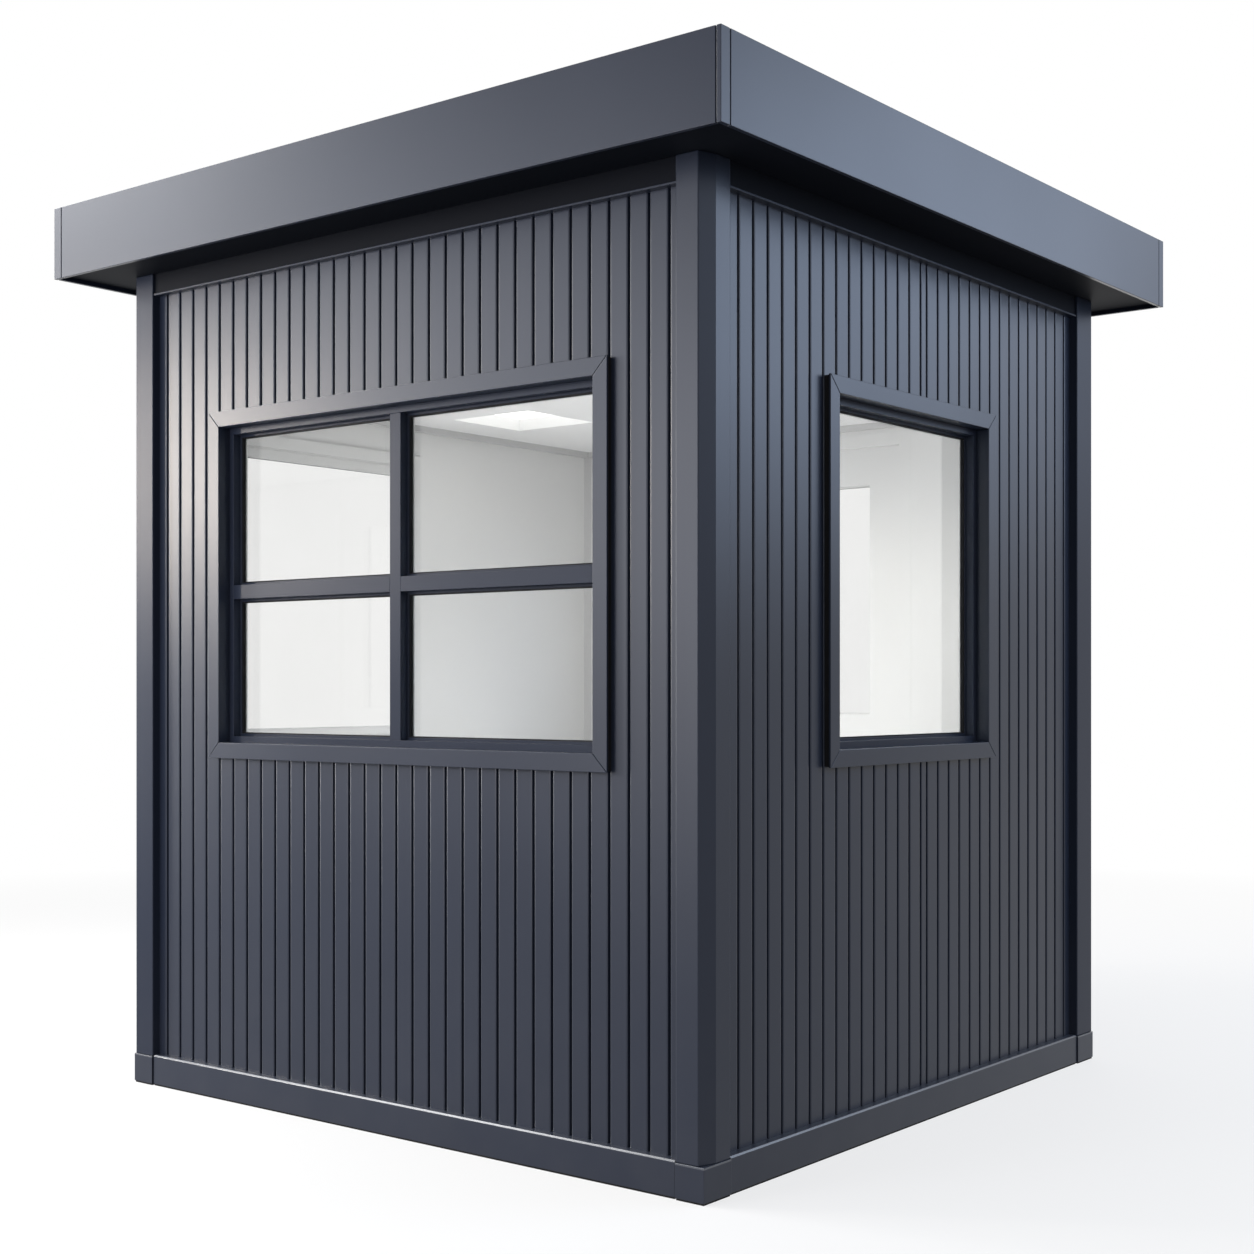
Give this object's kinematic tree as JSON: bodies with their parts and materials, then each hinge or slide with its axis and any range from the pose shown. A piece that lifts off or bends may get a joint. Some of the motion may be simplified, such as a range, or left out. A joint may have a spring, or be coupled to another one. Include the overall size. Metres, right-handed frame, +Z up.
{
  "type": "security guard booth",
  "caption": "Square prefabricated guard booth with ribbed dark metal walls, glazed front and side windows, a closed back door and a flat overhanging roof with a deep fascia.",
  "frame": {"origin": "middle of the booth's square plan, on the ground under the base frame", "axes": "+Z up; the front wall with the four-pane window faces -Y and the right wall faces +X"},
  "size_m": [2.43, 2.43, 2.6],
  "materials": {
    "anthracite_paint": "satin anthracite powder coat",
    "soffit_paint": "matt dark soffit sheet",
    "pale_lining": "smooth off-white lining sheet",
    "clear_glass": "clear float glass",
    "floor_sheet": "grey speckled vinyl sheet",
    "roof_membrane": "dark grey roof membrane",
    "light_diffuser": "lit opal diffuser",
    "satin_steel": "satin stainless steel"
  },
  "bodies": {
    "root": {"back_cladding": "anthracite_paint", "back_wall": "pale_lining", "base_corner_blocks": "anthracite_paint", "base_rails": "anthracite_paint", "ceiling": "pale_lining", "ceiling_light": "light_diffuser", "ceiling_trim": "pale_lining", "corner_post_back_left": "anthracite_paint", "corner_post_back_right": "anthracite_paint", "corner_post_front_left": "anthracite_paint", "corner_post_front_right": "anthracite_paint", "door_casing": "anthracite_paint", "door_frame": "anthracite_paint", "door_glass": "clear_glass", "door_handle": "satin_steel", "door_hinges": "satin_steel", "door_leaf": "anthracite_paint", "fascia_back": "anthracite_paint", "fascia_corner_covers": "anthracite_paint", "fascia_front": "anthracite_paint", "fascia_left": "anthracite_paint", "fascia_right": "anthracite_paint", "floor_deck": "floor_sheet", "front_cladding": "anthracite_paint", "front_wall": "pale_lining", "front_window_casing": "anthracite_paint", "front_window_frame": "anthracite_paint", "front_window_glass": "clear_glass", "front_window_mullion": "anthracite_paint", "front_window_transoms": "anthracite_paint", "head_rails": "anthracite_paint", "left_cladding": "anthracite_paint", "left_wall": "pale_lining", "left_window_casing": "anthracite_paint", "left_window_frame": "anthracite_paint", "left_window_glass": "clear_glass", "right_cladding": "anthracite_paint", "right_wall": "pale_lining", "right_window_casing": "anthracite_paint", "right_window_frame": "anthracite_paint", "right_window_glass": "clear_glass", "roof_deck": "roof_membrane", "room_corner_trims": "pale_lining", "soffit": "soffit_paint", "window_reveals": "anthracite_paint"}
  },
  "joints": []
}
